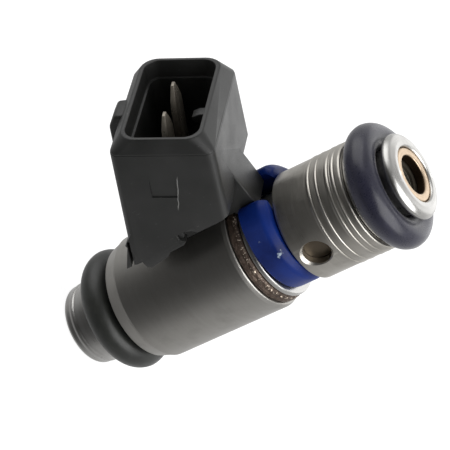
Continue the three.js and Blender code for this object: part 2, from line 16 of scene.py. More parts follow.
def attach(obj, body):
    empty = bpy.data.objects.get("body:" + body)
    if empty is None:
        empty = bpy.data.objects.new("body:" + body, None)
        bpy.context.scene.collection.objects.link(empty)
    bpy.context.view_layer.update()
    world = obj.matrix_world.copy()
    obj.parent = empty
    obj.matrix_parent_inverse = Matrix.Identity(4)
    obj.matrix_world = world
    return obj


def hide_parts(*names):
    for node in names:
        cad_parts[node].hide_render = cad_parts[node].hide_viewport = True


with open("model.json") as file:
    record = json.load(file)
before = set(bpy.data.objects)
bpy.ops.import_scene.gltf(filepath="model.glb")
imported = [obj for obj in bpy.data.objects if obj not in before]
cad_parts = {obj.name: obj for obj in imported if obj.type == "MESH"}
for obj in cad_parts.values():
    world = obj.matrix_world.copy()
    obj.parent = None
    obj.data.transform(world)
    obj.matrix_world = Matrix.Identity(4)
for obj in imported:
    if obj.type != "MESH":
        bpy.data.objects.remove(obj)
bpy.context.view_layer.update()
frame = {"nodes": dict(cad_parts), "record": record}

# ---- Sizes, in millimetres ------------------------------------------------------------------------

MM = 0.001
BODY = "injector_body"
ROUND = 160  # facets round a turned piece

CONNECTOR_LEAN = math.radians(29.3)
CONNECTOR_Z = 17.24
ACROSS = Vector((0, math.sin(CONNECTOR_LEAN), math.cos(CONNECTOR_LEAN)))
ALONG = Vector((0, -math.cos(CONNECTOR_LEAN), math.sin(CONNECTOR_LEAN)))

CAN_RADIUS = 7.54
CAN_REAR, CAN_SHOULDER, CAN_FRONT = 8.2, 10.1, 26.0
BEAD_REAR, BEAD_FRONT, BEAD_INNER = 26.06, 27.35, 6.2
COVER_FRONT, COVER_LIP = 28.05, 6.9
GROOVE_FLOOR = 3.88
RING_MIDDLE, RING_SECTION = 5.65, 1.75
LOWER_RING_Z, UPPER_RING_Z = 5.7, 43.1
COLLAR_RADIUS = 6.44
COLLAR_LIPS = ((36.65, 0.42), (37.72, 0.3), (39.1, 0.46), (39.86, 0.44))  # middle and width
COLLAR_LIP_HEIGHT, COLLAR_GROOVE_DEPTH = 0.03, 0.06
STAKE_RADIUS, STAKE_Z = 1.6, 34.3

CLIP_REAR, CLIP_CHAMFER, CLIP_FRONT = 28.12, 30.9, 31.7
CLIP_CENTRE_Y, CLIP_RADIUS, CLIP_FRONT_RADIUS, CLIP_BORE = -1.1, 6.98, 6.3, 5.07
CLIP_SLOT = 2.6
CLIP_NICK = (6.82, -2.18, 31.0)

RIM = 25.07
CHAMFER = 1.75
BLOCK_DRAFT = 0.045
BLOCK_FLOOR = 3
SOCKET_FLOOR = 14.8
UNDERSIDE_Y = -9.4
BLADE_X, BLADE_S, BLADE_HALF, BLADE_THICK = 2.71, -0.29, 1.4, 0.4
BLADE_TAPER, BLADE_TIP = 22.4, 24.95
BLADE_THINNING = 0.55  # share of its thickness that a blade loses at its tip

SCRATCH_Y, SCRATCH_Z = -15.2, 27.0
SCRATCH_SLOPE, SCRATCH_HALF_LENGTH = 0.726, 1.5
SCRATCHED_FACE_X = 7.6

# ---- Studio: lengths in metres, directions point from the injector to what they name ---------------

FLOOR_HALF = 3
FLOOR_GAP = 0.00002
DARK_SIDE = (0.78, -0.62, -0.05)
# Brightness of the surroundings from the side away from DARK_SIDE (0) to DARK_SIDE itself (1).
STUDIO_SHADES = (
    (0.0, 1.15),
    (0.12, 0.66),
    (0.3, 0.54),
    (0.5, 0.46),
    (0.6, 0.42),
    (0.7, 0.29),
    (0.82, 0.12),
    (1.0, 0.035),
)
BACKDROP = 0.9
LAMP_AIM = Vector((0, 0, 0.023))
# Name, direction, distance, width and power in watts.
LAMPS = (
    ("key", (0.49, 0.32, 0.81), 0.35, 0.36, 1.3),
    ("fill", (-0.4, -0.85, 0.35), 0.4, 0.4, 0.8),
    ("back", (-0.75, 0.45, 0.485), 0.4, 0.4, 0.3),
)
CAMERA_AIM = Vector((0, -0.0044935, 0.0238062))
CAMERA_AZIMUTH, CAMERA_ELEVATION = math.radians(-30.975), math.radians(29)
CAMERA_ROLL = math.radians(64.488)
CAMERA_DISTANCE = 0.22577
FOCAL_LENGTH_MM, SENSOR_MM = 160, 36


# ---- Mesh helpers ---------------------------------------------------------------------------------


def place(x, s, n):
    """A point of the connector's own frame, in the injector's frame."""
    return Vector((x, 0, CONNECTOR_Z)) + ACROSS * s + ALONG * n


def rounded(corners, steps=5, closed=True):
    """Corners given as (*point, radius), as a line of points with each corner rounded off."""
    line = []
    count = len(corners)
    for i, (*point, radius) in enumerate(corners):
        here = Vector(point)
        ends = i in (0, count - 1) and not closed
        if radius <= 0 or ends:
            line.append(here)
            continue
        before = Vector(corners[i - 1][:-1]) - here
        after = Vector(corners[(i + 1) % count][:-1]) - here
        start = here + before * min(0.48, radius / before.length)
        end = here + after * min(0.48, radius / after.length)
        for k in range(steps + 1):
            t = k / steps
            line.append(start * (1 - t) ** 2 + here * 2 * t * (1 - t) + end * t**2)
    return line


def new_piece(name, vertices, faces, angle=32):
    """A mesh object from points in millimetres, smooth where faces meet at less than the angle."""
    mesh = bpy.data.meshes.new(name)
    mesh.from_pydata([Vector(v) * MM for v in vertices], [], faces)
    mesh.validate()
    piece = bpy.data.objects.new(name, mesh)
    bpy.context.scene.collection.objects.link(piece)
    smooth(piece, angle)
    return piece


def smooth(piece, angle=32):
    piece.data.shade_smooth()
    piece.data.set_sharp_from_angle(angle=math.radians(angle))


def through_rings(name, rings, caps=False, loop=False, angle=32):
    """A surface through rings of equal point counts. It closes with caps, or back on its first ring."""
    count = len(rings[0])
    vertices = [p for ring in rings for p in ring]
    faces = []
    pairs = len(rings) if loop else len(rings) - 1
    for level in range(pairs):
        above = (level + 1) % len(rings)
        for i in range(count):
            j = (i + 1) % count
            faces.append((level * count + i, level * count + j, above * count + j, above * count + i))
    if caps:
        faces.append(tuple(reversed(range(count))))
        faces.append(tuple(range((len(rings) - 1) * count, len(rings) * count)))
    return new_piece(name, vertices, faces, angle)


def turned(name, corners, facets=ROUND, steps=5, bump=None, solid=False):
    """A piece turned about the axis from corners (radius, height, rounding).

    bump(angle, radius, height) moves a point out. A solid piece has no bore, so its corners run up
    the outside only.
    """
    profile = rounded(corners, steps, closed=not solid)
    rings = []
    for radius, height in profile:
        ring = []
        for k in range(facets):
            angle = 2 * math.pi * k / facets
            out = radius + (bump(angle, radius, height) if bump else 0)
            ring.append((out * math.cos(angle), out * math.sin(angle), height))
        rings.append(ring)
    return through_rings(name, rings, caps=solid, loop=not solid)


def box(name, low, high, to_frame=Vector):
    """A plain box between two corners, used to cut or to start a shape."""
    points = [(x, y, z) for z in (low[2], high[2]) for y in (low[1], high[1]) for x in (low[0], high[0])]
    faces = [(0, 2, 3, 1), (4, 5, 7, 6), (0, 1, 5, 4), (2, 6, 7, 3), (0, 4, 6, 2), (1, 3, 7, 5)]
    return new_piece(name, [to_frame(p) for p in points], faces)


def in_connector(point):
    return place(*point)


def prism(name, outline, start, end, to_frame):
    """An outline (a, b) drawn from c = start to c = end, each point placed by to_frame(a, b, c)."""
    rings = [[to_frame(a, b, c) for a, b in outline] for c in (start, end)]
    return through_rings(name, rings, caps=True)


def facing_out(piece):
    mesh = bmesh.new()
    mesh.from_mesh(piece.data)
    bmesh.ops.recalc_face_normals(mesh, faces=mesh.faces)
    mesh.to_mesh(piece.data)
    mesh.free()


def bake_modifiers(piece):
    depsgraph = bpy.context.evaluated_depsgraph_get()
    mesh = bpy.data.meshes.new_from_object(piece.evaluated_get(depsgraph))
    piece.modifiers.clear()
    old = piece.data
    piece.data = mesh
    bpy.data.meshes.remove(old)


def combine(piece, tool, operation):
    """Joins the tool to the piece, or cuts the piece with it. The tool is used up."""
    facing_out(tool)
    modifier = piece.modifiers.new("combine", "BOOLEAN")
    modifier.object = tool
    modifier.operation = operation
    modifier.solver = "EXACT"
    bake_modifiers(piece)
    bpy.data.objects.remove(tool)


def bevelled(piece, width, segments=3, angle=40):
    facing_out(piece)
    modifier = piece.modifiers.new("bevel", "BEVEL")
    modifier.width = width * MM
    modifier.segments = segments
    modifier.angle_limit = math.radians(angle)
    bake_modifiers(piece)
    return piece


def rounded_rectangle(x, y, corner, extra=0, steps=7):
    """A rectangle of half sizes x and y with rounded corners, whose upper side lies further out by extra."""
    points = []
    for quarter in range(4):
        centre_x = (x - corner) * (1 if quarter in (0, 3) else -1)
        centre_y = y + extra - corner if quarter in (0, 1) else corner - y
        for k in range(steps + 1):
            angle = math.pi / 2 * (quarter + k / steps)
            points.append((centre_x + corner * math.cos(angle), centre_y + corner * math.sin(angle)))
    return points


# ---- Material helpers -----------------------------------------------------------------------------


class Nodes:
    """A material's node tree, with short ways to add and link nodes."""

    def __init__(self, name):
        self.material = bpy.data.materials.new(name)
        self.material.use_nodes = True
        self.tree = self.material.node_tree
        self.shader = self.tree.nodes["Principled BSDF"]
        coordinates = self.tree.nodes.new("ShaderNodeTexCoord")
        self.place = coordinates.outputs["Object"]

    def add(self, kind, inputs=None, **settings):
        node = self.tree.nodes.new(kind)
        for key, value in settings.items():
            setattr(node, key, value)
        for key, value in (inputs or {}).items():
            self.put(node.inputs[key], value)
        return node

    def put(self, socket, value):
        if isinstance(value, bpy.types.NodeSocket):
            self.tree.links.new(value, socket)
        else:
            socket.default_value = value

    def math(self, operation, a, b=0.0, clamp=False):
        node = self.add("ShaderNodeMath", {0: a, 1: b}, operation=operation, use_clamp=clamp)
        return node.outputs[0]

    def xyz(self):
        """The three object coordinates, in millimetres."""
        to_mm = (1 / MM, 1 / MM, 1 / MM)
        scaled = self.add("ShaderNodeVectorMath", {0: self.place, 1: to_mm}, operation="MULTIPLY")
        parts = self.add("ShaderNodeSeparateXYZ", {0: scaled.outputs[0]})
        return parts.outputs[0], parts.outputs[1], parts.outputs[2]

    def radius(self):
        """The distance from the injector's axis, in millimetres."""
        x, y, _ = self.xyz()
        return self.math("SQRT", self.math("ADD", self.math("MULTIPLY", x, x), self.math("MULTIPLY", y, y)))

    def vector(self, x, y, z):
        return self.add("ShaderNodeCombineXYZ", {0: x, 1: y, 2: z}).outputs[0]

    def noise(self, vector, scale, detail=3.0, roughness=0.55):
        inputs = {"Vector": vector, "Scale": scale, "Detail": detail, "Roughness": roughness}
        return self.add("ShaderNodeTexNoise", inputs).outputs["Fac"]

    def speckle(self, scale, detail=3.0, roughness=0.55):
        """Noise that is the same in every direction, with features of about 1000 / scale mm."""
        return self.noise(self.place, scale, detail, roughness)

    def remap(self, value, low, high, to_low=0.0, to_high=1.0):
        inputs = {0: value, 1: low, 2: high, 3: to_low, 4: to_high}
        return self.add("ShaderNodeMapRange", inputs, clamp=True).outputs[0]

    def blend(self, factor, a, b, kind="MIX"):
        node = self.add("ShaderNodeMix", data_type="RGBA", blend_type=kind)
        self.put(node.inputs["Factor"], factor)
        for socket, value in ((node.inputs[6], a), (node.inputs[7], b)):
            self.put(socket, value if isinstance(value, bpy.types.NodeSocket) else (*value, 1))
        return node.outputs[2]

    def bump(self, height, strength, distance_mm, under=None):
        inputs = {"Height": height, "Strength": strength, "Distance": distance_mm * MM}
        if under is not None:
            inputs["Normal"] = under
        return self.add("ShaderNodeBump", inputs).outputs[0]

    def round_axis(self, along, height):
        """A vector whose noise makes marks that run round the axis, on walls and on end faces alike."""
        x, y, z = self.xyz()
        level = self.math("MULTIPLY", self.math("ADD", z, self.radius()), height)
        return self.vector(self.math("MULTIPLY", x, along), self.math("MULTIPLY", y, along), level)

    def edges(self, low=0.52, high=0.6):
        return self.remap(self.add("ShaderNodeNewGeometry").outputs["Pointiness"], low, high)

    def finish(self, **sockets):
        for key, value in sockets.items():
            self.put(self.shader.inputs[key.replace("_", " ")], value)
        return self.material


def metal(name, light, dark, roughness, marks=9.0, depth=0.35, stain=0.25, spread=0.12, dirt_and_painted_shade=None):
    """Turned or drawn metal: fine marks round the axis, uneven polish and faint stains.

    The last argument gives (inner radius, outer radius, colour) in millimetres: between them the metal is
    dull, painted in that colour as painted shade.
    """
    n = Nodes(name)
    fine = n.noise(n.round_axis(0.35, marks), 1.0, 4.0, 0.65)
    wide = n.noise(n.round_axis(0.15, marks * 0.22), 1.0, 2.0, 0.5)
    cloud = n.speckle(420, 3.0, 0.6)
    tone = n.math("ADD", n.math("MULTIPLY", fine, 0.6), n.math("MULTIPLY", wide, 0.4))
    base = n.blend(n.remap(tone, 0.25, 0.75), dark, light)
    stained = n.blend(n.remap(cloud, 0.5, 0.75, 0, stain), base, tuple(0.55 * c for c in dark))
    wear_and_painted_shade = n.blend(n.math("MULTIPLY", n.edges(), 0.5), stained, tuple(min(1, 1.35 * c) for c in light))
    rough = n.remap(n.math("ADD", n.math("MULTIPLY", cloud, 0.6), n.math("MULTIPLY", fine, 0.4)), 0.3, 0.7)
    rough = n.remap(rough, 0, 1, roughness - spread, roughness + spread)
    normal = n.bump(fine, depth, 0.012, n.bump(wide, depth * 0.6, 0.03))
    # Painted shade: between the two radii the colour goes dark and the finish dull.
    if dirt_and_painted_shade:
        inner, outer, painted_shade_colour = dirt_and_painted_shade
        inside = n.math("GREATER_THAN", n.radius(), inner)
        painted_shade_mask = n.math("MULTIPLY", inside, n.remap(n.radius(), outer, outer + 0.06, 1.0, 0.0))
        wear_and_painted_shade = n.blend(painted_shade_mask, wear_and_painted_shade, painted_shade_colour)
        rough = n.math("MAXIMUM", rough, n.math("MULTIPLY", painted_shade_mask, 0.55))
    return n.finish(Base_Color=wear_and_painted_shade, Metallic=1.0, Roughness=rough, Normal=normal)


def plastic(name, light, dark, roughness, grain=9000, depth=0.3, specular=0.5):
    """Moulded plastic: fine grain, slow waviness and slightly paler rubbed edges."""
    n = Nodes(name)
    pores = n.speckle(grain, 2.0, 0.6)
    flow = n.speckle(260, 3.0, 0.5)
    base = n.blend(n.remap(flow, 0.3, 0.7), dark, light)
    speckled = n.blend(n.remap(pores, 0.55, 0.8, 0, 0.35), base, tuple(1.5 * c for c in light))
    rubbed = n.blend(n.math("MULTIPLY", n.edges(0.53, 0.62), 0.35), speckled, tuple(2.2 * c for c in light))
    rough = n.remap(n.math("ADD", pores, flow), 0.7, 1.3, roughness - 0.08, roughness + 0.08)
    normal = n.bump(pores, depth, 0.02, n.bump(flow, 0.15, 0.15))
    inputs = {"Base_Color": rubbed, "Roughness": rough, "Normal": normal, "Specular_IOR_Level": specular}
    return n, inputs


def rubber(name, light, dark, roughness, sheen):
    """Moulded rubber: dull with faint dust, flow marks round the ring and a soft sheen."""
    n = Nodes(name)
    pores = n.speckle(6500, 3.0, 0.6)
    flow = n.noise(n.round_axis(0.25, 1.2), 1.0, 3.0, 0.5)
    dust = n.speckle(900, 4.0, 0.65)
    base = n.blend(n.remap(flow, 0.3, 0.7), dark, light)
    dusty = n.blend(n.remap(dust, 0.52, 0.8, 0, 0.3), base, tuple(2.2 * c for c in light))
    rough = n.remap(n.math("ADD", pores, dust), 0.7, 1.3, roughness - 0.1, roughness + 0.1)
    normal = n.bump(pores, 0.18, 0.015, n.bump(flow, 0.12, 0.08))
    return n.finish(Base_Color=dusty, Roughness=rough, Normal=normal, Sheen_Weight=sheen, Sheen_Roughness=0.5)


def can_steel():
    light, dark = (0.46, 0.45, 0.425), (0.41, 0.395, 0.37)
    return metal("can_steel", light, dark, 0.36, marks=6.0, depth=0.05, spread=0.04)


def collar_steel():
    return metal("collar_steel", (0.58, 0.555, 0.51), (0.44, 0.42, 0.38), 0.37, marks=12.0, depth=0.5)


def bright_steel():
    # Painted shade: the tube under the collar, where it shows down the stake holes, is painted dark brown.
    painted_shade_under_collar = (5.2, 5.31, (0.2, 0.165, 0.125))
    light, dark = (0.62, 0.615, 0.6), (0.46, 0.45, 0.43)
    return metal("bright_steel", light, dark, 0.32, marks=8.0, depth=0.25, stain=0.15, dirt_and_painted_shade=painted_shade_under_collar)


def soft_iron():
    return metal("soft_iron", (0.36, 0.35, 0.34), (0.24, 0.235, 0.23), 0.45, marks=5.0)


def spring_steel():
    return metal("spring_steel", (0.55, 0.55, 0.55), (0.4, 0.4, 0.4), 0.24, marks=3.0, depth=0.15)


def rolled_brass():
    """Brass, dulled on its rolled mouth, with painted shade where it turns down into the bore."""
    # Painted shade: inside this radius, down the bore, the brass is painted near black.
    bore = (0, 2.29, (0.045, 0.03, 0.018))
    return metal("rolled_brass", (0.7, 0.55, 0.4), (0.52, 0.4, 0.28), 0.34, depth=0.3, stain=0.3, dirt_and_painted_shade=bore)


def enamelled_copper():
    return metal("enamelled_copper", (0.62, 0.26, 0.12), (0.42, 0.15, 0.07), 0.32, marks=22.0, depth=1.0)


def tinned_terminal():
    """Tinned blade, tarnished in patches, with drawing lines along its length."""
    n = Nodes("tinned_terminal")
    x, y, z = n.xyz()
    lines = n.noise(n.vector(n.math("MULTIPLY", x, 9.0), n.math("MULTIPLY", y, 0.5), z), 1.0, 3.0, 0.6)
    patch = n.speckle(700, 4.0, 0.6)
    base = n.blend(n.remap(patch, 0.4, 0.62), (0.15, 0.13, 0.1), (0.09, 0.072, 0.052))
    streaked = n.blend(n.remap(lines, 0.45, 0.7, 0, 0.5), base, (0.12, 0.09, 0.065))
    bright = n.blend(n.math("MULTIPLY", n.edges(0.52, 0.6), 0.6), streaked, (0.5, 0.47, 0.41))
    rough = n.remap(patch, 0.35, 0.65, 0.25, 0.5)
    return n.finish(Base_Color=bright, Metallic=0.55, Roughness=rough, Normal=n.bump(lines, 0.3, 0.015))


def bronze_bead():
    """The brown brazed bead, with painted glints in a row round its front swell."""
    n = Nodes("bronze_bead")
    _, _, z = n.xyz()
    grain = n.speckle(2600, 4.0, 0.7)
    burn = n.speckle(600, 3.0, 0.6)
    base = n.blend(n.remap(burn, 0.35, 0.65), (0.06, 0.042, 0.033), (0.13, 0.095, 0.073))
    rough_skin = n.blend(n.remap(grain, 0.45, 0.7, 0, 0.7), base, (0.05, 0.03, 0.02))
    # Painted glints: pale specks painted in a band round the front swell, standing in for highlights.
    painted_glints = n.remap(n.speckle(4200, 1.0, 0.5), 0.6, 0.66)
    offset = n.math("ABSOLUTE", n.math("SUBTRACT", z, BEAD_REAR + 0.93))
    row = n.remap(offset, 0.1, 0.25, 1.0, 0.0)
    lit = n.blend(n.math("MULTIPLY", painted_glints, row), rough_skin, (0.8, 0.68, 0.55))
    rough = n.remap(grain, 0.35, 0.65, 0.3, 0.6)
    return n.finish(Base_Color=lit, Metallic=0.6, Roughness=rough, Normal=n.bump(grain, 0.8, 0.05))


def housing_plastic():
    """Dark glass-filled nylon, with one pale scratch on the +X side of the block and light scuffs."""
    n, inputs = plastic("housing_plastic", (0.0155, 0.0155, 0.015), (0.0105, 0.011, 0.0102), 0.43, depth=0.3)
    x, y, z = n.xyz()
    wobble = n.math("MULTIPLY", n.math("SUBTRACT", n.speckle(700, 2.0), 0.5), 0.5)
    from_y = n.math("SUBTRACT", y, SCRATCH_Y)
    from_z = n.math("SUBTRACT", z, SCRATCH_Z)
    across = n.math("ADD", from_z, n.math("MULTIPLY", from_y, SCRATCH_SLOPE))
    line = n.remap(n.math("ABSOLUTE", n.math("ADD", across, wobble)), 0.02, 0.09, 1.0, 0.0)
    fade = SCRATCH_HALF_LENGTH + 0.4
    reach = n.remap(n.math("ABSOLUTE", from_y), SCRATCH_HALF_LENGTH, fade, 1.0, 0.0)
    side = n.remap(x, SCRATCHED_FACE_X - 0.05, SCRATCHED_FACE_X + 0.05, 0.0, 1.0)
    scratch = n.math("MULTIPLY", n.math("MULTIPLY", line, reach), side)
    scuffs = n.remap(n.noise(n.vector(x, n.math("MULTIPLY", y, 5.0), z), 1.6, 2.0), 0.72, 0.8, 0.0, 0.25)
    marks = n.math("MAXIMUM", n.math("MULTIPLY", scratch, 0.5), scuffs)
    inputs["Base_Color"] = n.blend(marks, inputs["Base_Color"], (0.3, 0.3, 0.29))
    return n.finish(**inputs)


def bobbin_plastic():
    n, inputs = plastic("bobbin_plastic", (0.5, 0.47, 0.38), (0.4, 0.37, 0.3), 0.5)
    return n.finish(**inputs)


def filter_plastic():
    n, inputs = plastic("filter_plastic", (0.035, 0.03, 0.022), (0.02, 0.017, 0.012), 0.5)
    return n.finish(**inputs)


def clip_plastic():
    """Blue plastic with one ragged pale nick and small specks."""
    light, dark = (0.003, 0.022, 0.17), (0.002, 0.01, 0.08)
    n, inputs = plastic("clip_plastic", light, dark, 0.4, grain=7000, depth=0.15, specular=0.2)
    away = n.add("ShaderNodeVectorMath", {0: n.place, 1: [c * MM for c in CLIP_NICK]}, operation="DISTANCE")
    ragged = n.math("ADD", away.outputs["Value"], n.math("MULTIPLY", n.speckle(2600, 2.0), 0.0012))
    nick = n.remap(ragged, 0.0008, 0.00098, 1.0, 0.0)
    specks = n.remap(n.speckle(1500, 3.0, 0.7), 0.72, 0.76, 0.0, 0.35)
    inputs["Base_Color"] = n.blend(n.math("MAXIMUM", nick, specks), inputs["Base_Color"], (0.3, 0.36, 0.42))
    return n.finish(**inputs)


def black_rubber():
    return rubber("black_rubber", (0.018, 0.0195, 0.0165), (0.011, 0.012, 0.0105), 0.42, 0.08)


def navy_rubber():
    return rubber("navy_rubber", (0.015, 0.015, 0.031), (0.009, 0.009, 0.0195), 0.31, 0.12)


def filter_cloth():
    """A fine woven screen: two sets of threads, round the tube and along it."""
    n = Nodes("filter_cloth")
    x, y, z = n.xyz()
    turn = n.math("ARCTAN2", y, x)
    weft = n.math("SINE", n.math("MULTIPLY", z, 42.0))
    warp = n.math("SINE", n.math("MULTIPLY", turn, 70.0))
    weave = n.math("MAXIMUM", weft, warp)
    shade = n.blend(n.remap(weave, 0.0, 0.9), (0.03, 0.028, 0.022), (0.16, 0.15, 0.12))
    dirt_and_painted_shade = n.blend(n.remap(n.speckle(600), 0.5, 0.7, 0, 0.3), shade, (0.25, 0.2, 0.12))
    rough = n.remap(weave, 0, 1, 0.8, 0.5)
    return n.finish(Base_Color=dirt_and_painted_shade, Roughness=rough, Normal=n.bump(weave, 0.8, 0.04))


def pale_floor():
    n = Nodes("pale_floor")
    cloud = n.speckle(4.0, 2.0)
    color = n.blend(cloud, (0.2, 0.2, 0.2), (0.22, 0.22, 0.22))
    glow = n.blend(cloud, (0.84, 0.84, 0.84), (0.87, 0.87, 0.87))
    return n.finish(Base_Color=color, Roughness=0.9, Emission_Color=glow, Emission_Strength=1.05)


# ---- Turned pieces --------------------------------------------------------------------------------


def nozzle_cap():
    corners = [
        (3.45, 0, 0.12),
        (4.62, 0, 0.25),
        (4.9, 0.35, 0.2),
        (4.9, 0.95, 0.1),
        (5.0, 1.2, 0.14),
        (5.0, 1.42, 0.14),
        (4.88, 1.68, 0.1),
        (4.9, 3.1, 0.12),
        (4.78, 3.2, 0.05),
        (3.45, 3.2, 0.05),
    ]
    return turned("nozzle_cap_fine", corners)


def valve_body():
    corners = [
        (3.05, 0.5, 0.1),
        (3.4, 0.5, 0.1),
        (3.4, 3.25, 0.05),
        (GROOVE_FLOOR, 3.25, 0.05),
        (GROOVE_FLOOR, 9.25, 0.05),
        (5.4, 9.25, 0.1),
        (5.4, 10.1, 0.1),
        (3.9, 10.1, 0.1),
        (3.9, 19, 0.05),
        (3, 19, 0.05),
        (3, 13, 0.1),
        (2.4, 12.4, 0.1),
        (2.4, 6.15, 0.05),
        (3.05, 6.15, 0.05),
    ]
    return turned("valve_body_fine", corners)


def orifice_plate():
    corners = [(2.95, 0.9, 0), (3, 0.95, 0), (3, 1.3, 0), (2.95, 1.35, 0)]
    plate = turned("orifice_plate_fine", corners, 96, solid=True)
    facing_out(plate)
    hole_circle = 0.7
    for k in range(4):
        angle = math.pi / 2 * (k + 0.5)
        centre = Vector((math.cos(angle), math.sin(angle), 0)) * hole_circle
        drill = turned("drill", [(0.15, 0.5, 0), (0.15, 1.7, 0)], 24, solid=True)
        drill.data.transform(Matrix.Translation(centre * MM))
        combine(plate, drill, "DIFFERENCE")
    smooth(plate)
    return plate


def o_ring(name, height):
    """A rubber ring, squeezed a little in radius, with a faint moulding line round the outside."""
    squeeze = 0.02
    line_height, line_width = 0.018, 0.12
    rings = []
    sides = 48
    for k in range(sides):
        turn = 2 * math.pi * k / sides
        outside = math.cos(turn) > 0
        swell = line_height * math.exp(-((math.sin(turn) / line_width) ** 2)) if outside else 0
        radius = RING_MIDDLE + (RING_SECTION - squeeze + swell) * math.cos(turn)
        level = height + RING_SECTION * math.sin(turn)
        rings.append([
            (radius * math.cos(a), radius * math.sin(a), level)
            for a in (2 * math.pi * i / ROUND for i in range(ROUND))
        ])
    return through_rings(name, rings, loop=True, angle=60)


def housing_can():
    corners = [
        (4, CAN_REAR, 0.05),
        (6.88, CAN_REAR, 0.4),
        (7.0, CAN_REAR + 0.3, 0.2),
        (7.41, CAN_SHOULDER - 0.2, 0.05),
        (CAN_RADIUS, CAN_SHOULDER, 0.08),
        (CAN_RADIUS, CAN_FRONT - 0.5, 0.05),
        (7.38, CAN_FRONT - 0.12, 0.05),
        (7.3, CAN_FRONT, 0.05),
        (6.75, CAN_FRONT, 0.05),
        (6.75, 10.6, 0.1),
        (5.9, 9.2, 0.2),
        (4, 9.2, 0.05),
    ]
    can = turned("housing_can_fine", corners, 224)
    combine(can, box("notch", (-2.6, -9, 20.3), (2.6, -5, 27)), "DIFFERENCE")
    smooth(can)
    return can


def cover_plate():
    corners = [
        (3.95, 24.1, 0.05),
        (6.7, 24.1, 0.05),
        (6.7, CAN_FRONT, 0.02),
        (6.15, CAN_FRONT, 0.02),
        (6.15, BEAD_FRONT + 0.05, 0.02),
        (COVER_LIP - 0.06, BEAD_FRONT + 0.08, 0.1),
        (COVER_LIP, COVER_FRONT - 0.35, 0.15),
        (COVER_LIP - 0.12, COVER_FRONT, 0.16),
        (3.95, COVER_FRONT, 0.05),
    ]
    return turned("cover_plate_fine", corners)


def weld_bead():
    """The bead of brazing between can and cover: two uneven swells with ripples on them."""
    corners = [
        (BEAD_INNER, BEAD_REAR, 0.02),
        (7.02, BEAD_REAR, 0.05),
        (7.12, BEAD_REAR + 0.3, 0.1),
        (6.94, BEAD_REAR + 0.62, 0.1),
        (7.02, BEAD_REAR + 0.92, 0.1),
        (6.7, BEAD_FRONT - 0.02, 0.12),
        (BEAD_INNER, BEAD_FRONT, 0.02),
    ]

    smooth_inside, ripples = 6.5, 13
    deepest, highest = -0.12, 0.045

    def ripple(angle, radius, height):
        if radius < smooth_inside:
            return 0
        along = Vector((math.cos(angle), math.sin(angle), 0)) * ripples
        coarse = noise.noise(along + Vector((0, 0, height * 3)))
        fine = noise.noise(along * 3.1 + Vector((5, 1, height * 9)))
        return max(deepest, min(highest, 0.05 * coarse + 0.04 * fine))

    return turned("weld_bead_fine", corners, 640, 6, ripple)


def stake_drill():
    """A drill through both walls of the collar, wider outside, as a slight countersink."""
    sink, end, wide = 6.1, 9, 4.6
    corners = [(wide, -end, 0), (STAKE_RADIUS, -sink, 0.05), (STAKE_RADIUS, sink, 0.05), (wide, end, 0)]
    drill = turned("stake_drill", corners, 72, solid=True)
    to_x = Matrix.Translation((0, 0, STAKE_Z * MM)) @ Matrix.Rotation(math.pi / 2, 4, "Y")
    drill.data.transform(to_x)
    return drill


def inlet_collar():
    """The turned collar: low lips with a groove in front of each, and a round hole on each side."""
    corners = [(5.35, 31.8, 0.05), (6.28, 31.8, 0.14), (COLLAR_RADIUS, 31.98, 0.1)]
    floor_radius = COLLAR_RADIUS - COLLAR_GROOVE_DEPTH
    lip_radius = COLLAR_RADIUS + COLLAR_LIP_HEIGHT
    for z, width in COLLAR_LIPS:
        half = width / 2
        corners += [
            (COLLAR_RADIUS - 0.03, z - half, 0.04),
            (lip_radius, z - half * 0.3, 0.05),
            (lip_radius, z + half * 0.4, 0.05),
            (floor_radius, z + half, 0.04),
            (floor_radius + 0.05, z + half + 0.12, 0.04),
            (COLLAR_RADIUS, z + half + 0.16, 0.03),
        ]
    corners += [(COLLAR_RADIUS, 40.78, 0.1), (6.3, 40.95, 0.1), (5.35, 40.95, 0.05)]
    collar = turned("inlet_collar_fine", corners, 192, 4)
    combine(collar, stake_drill(), "DIFFERENCE")
    smooth(collar)
    return collar


def inlet_tube():
    corners = [
        (1.95, 20.6, 0.05),
        (3, 20.6, 0.05),
        (3, 22, 0.05),
        (3.9, 22, 0.05),
        (3.9, 28.1, 0.02),
        (5, 28.1, 0.1),
        (5, 31.75, 0.05),
        (5.3, 31.75, 0.05),
        (5.3, 40.95, 0.05),
        (GROOVE_FLOOR, 40.95, 0.05),
        (GROOVE_FLOOR, 45.35, 0.1),
        (4.9, 45.35, 0.14),
        (5.04, 45.6, 0.12),
        (5.03, 45.9, 0.14),
        (4.72, 46.32, 0.3),
        (3.98, 46.58, 0.1),
        (3.9, 46.6, 0.03),
        (3.45, 46.6, 0.1),
        (3.28, 46.42, 0.1),
        (3.28, 38, 0.1),
        (1.95, 36.8, 0.1),
    ]
    return turned("inlet_tube_fine", corners)


def back_up_ring():
    corners = [(3.95, 41, 0.04), (5.88, 41, 0.08), (5.88, 41.3, 0.08), (3.95, 41.3, 0.04)]
    return turned("back_up_ring_fine", corners)


def filter_sleeve():
    """The brass sleeve, rolled over at its mouth."""
    corners = [
        (2.62, 43, 0.04),
        (3.23, 43, 0.04),
        (3.23, 46.2, 0.1),
        (3.08, 46.4, 0.12),
        (2.72, 46.37, 0.1),
        (2.52, 46.42, 0.16),
        (2.25, 46.28, 0.18),
        (2.25, 45.3, 0.1),
        (2.62, 45.3, 0.04),
    ]
    return turned("filter_sleeve_fine", corners)


# ---- The blue clip --------------------------------------------------------------------------------


